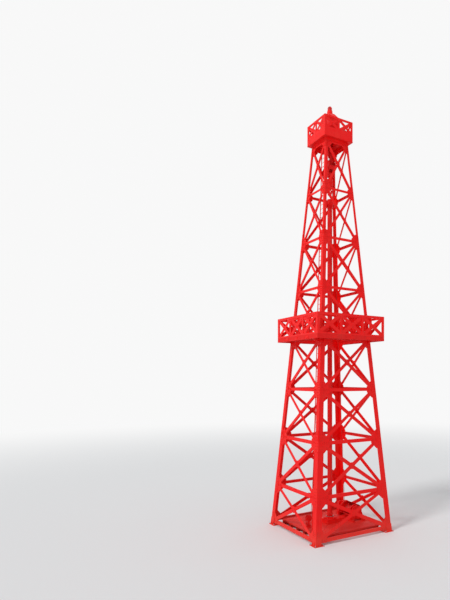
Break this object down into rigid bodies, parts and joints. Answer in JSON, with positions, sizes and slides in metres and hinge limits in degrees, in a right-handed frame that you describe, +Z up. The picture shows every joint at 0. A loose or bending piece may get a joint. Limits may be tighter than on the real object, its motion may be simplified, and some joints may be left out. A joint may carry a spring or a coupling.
{
  "type": "oil drilling derrick",
  "caption": "Square bolted steel drilling derrick with crossed bracing, a railed racking platform, a railed crown and hoisting gear over a rotary table.",
  "frame": {"origin": "on the ground in the middle between the four legs, at the centre of the bounding box's bottom", "axes": "+Z up, +X to the right of the front face, -Y out of the front face"},
  "size_m": [6.3, 6.3, 29.49],
  "materials": {
    "red_paint": "satin",
    "railing_paint": "satin",
    "deck_plate": "worn satin",
    "floor_steel": "worn satin",
    "machine_paint": "gloss",
    "casing_paint": "matt",
    "worn_steel": "worn",
    "wire_rope": "greased",
    "beacon_glass": "clear"
  },
  "bodies": {
    "root": {"leg_front_left": "red_paint", "leg_front_right": "red_paint", "leg_back_right": "red_paint", "leg_back_left": "red_paint", "shoe_front_left": "red_paint", "shoe_front_right": "red_paint", "shoe_back_right": "red_paint", "shoe_back_left": "red_paint", "base_bracing_front": "red_paint", "base_bracing_right": "red_paint", "base_bracing_back": "red_paint", "base_bracing_left": "red_paint", "lower_bracing_front": "red_paint", "lower_bracing_right": "red_paint", "lower_bracing_back": "red_paint", "lower_bracing_left": "red_paint", "upper_bracing_front": "red_paint", "upper_bracing_right": "red_paint", "upper_bracing_back": "red_paint", "upper_bracing_left": "red_paint", "floor_beams": "floor_steel", "floor_deck": "deck_plate", "rotary_table": "machine_paint", "drawworks_frame": "machine_paint", "drawworks_drum": "machine_paint", "dead_line_anchor": "machine_paint", "ladder": "railing_paint", "walkway_deck": "deck_plate", "walkway_brackets": "red_paint", "walkway_railing_front": "railing_paint", "walkway_railing_right": "railing_paint", "walkway_railing_back": "railing_paint", "walkway_railing_left": "railing_paint", "inner_railing": "railing_paint", "finger_board": "railing_paint", "water_table": "red_paint", "crown_deck": "deck_plate", "crown_railing_front": "railing_paint", "crown_railing_right": "railing_paint", "crown_railing_back": "railing_paint", "crown_railing_left": "railing_paint", "crown_block_frame": "red_paint", "crown_sheaves": "worn_steel", "mast_head": "red_paint", "beacon": "beacon_glass", "drilling_line": "wire_rope", "travelling_block": "machine_paint", "hook": "machine_paint", "elevator": "machine_paint", "casing_string": "casing_paint"}
  },
  "joints": []
}
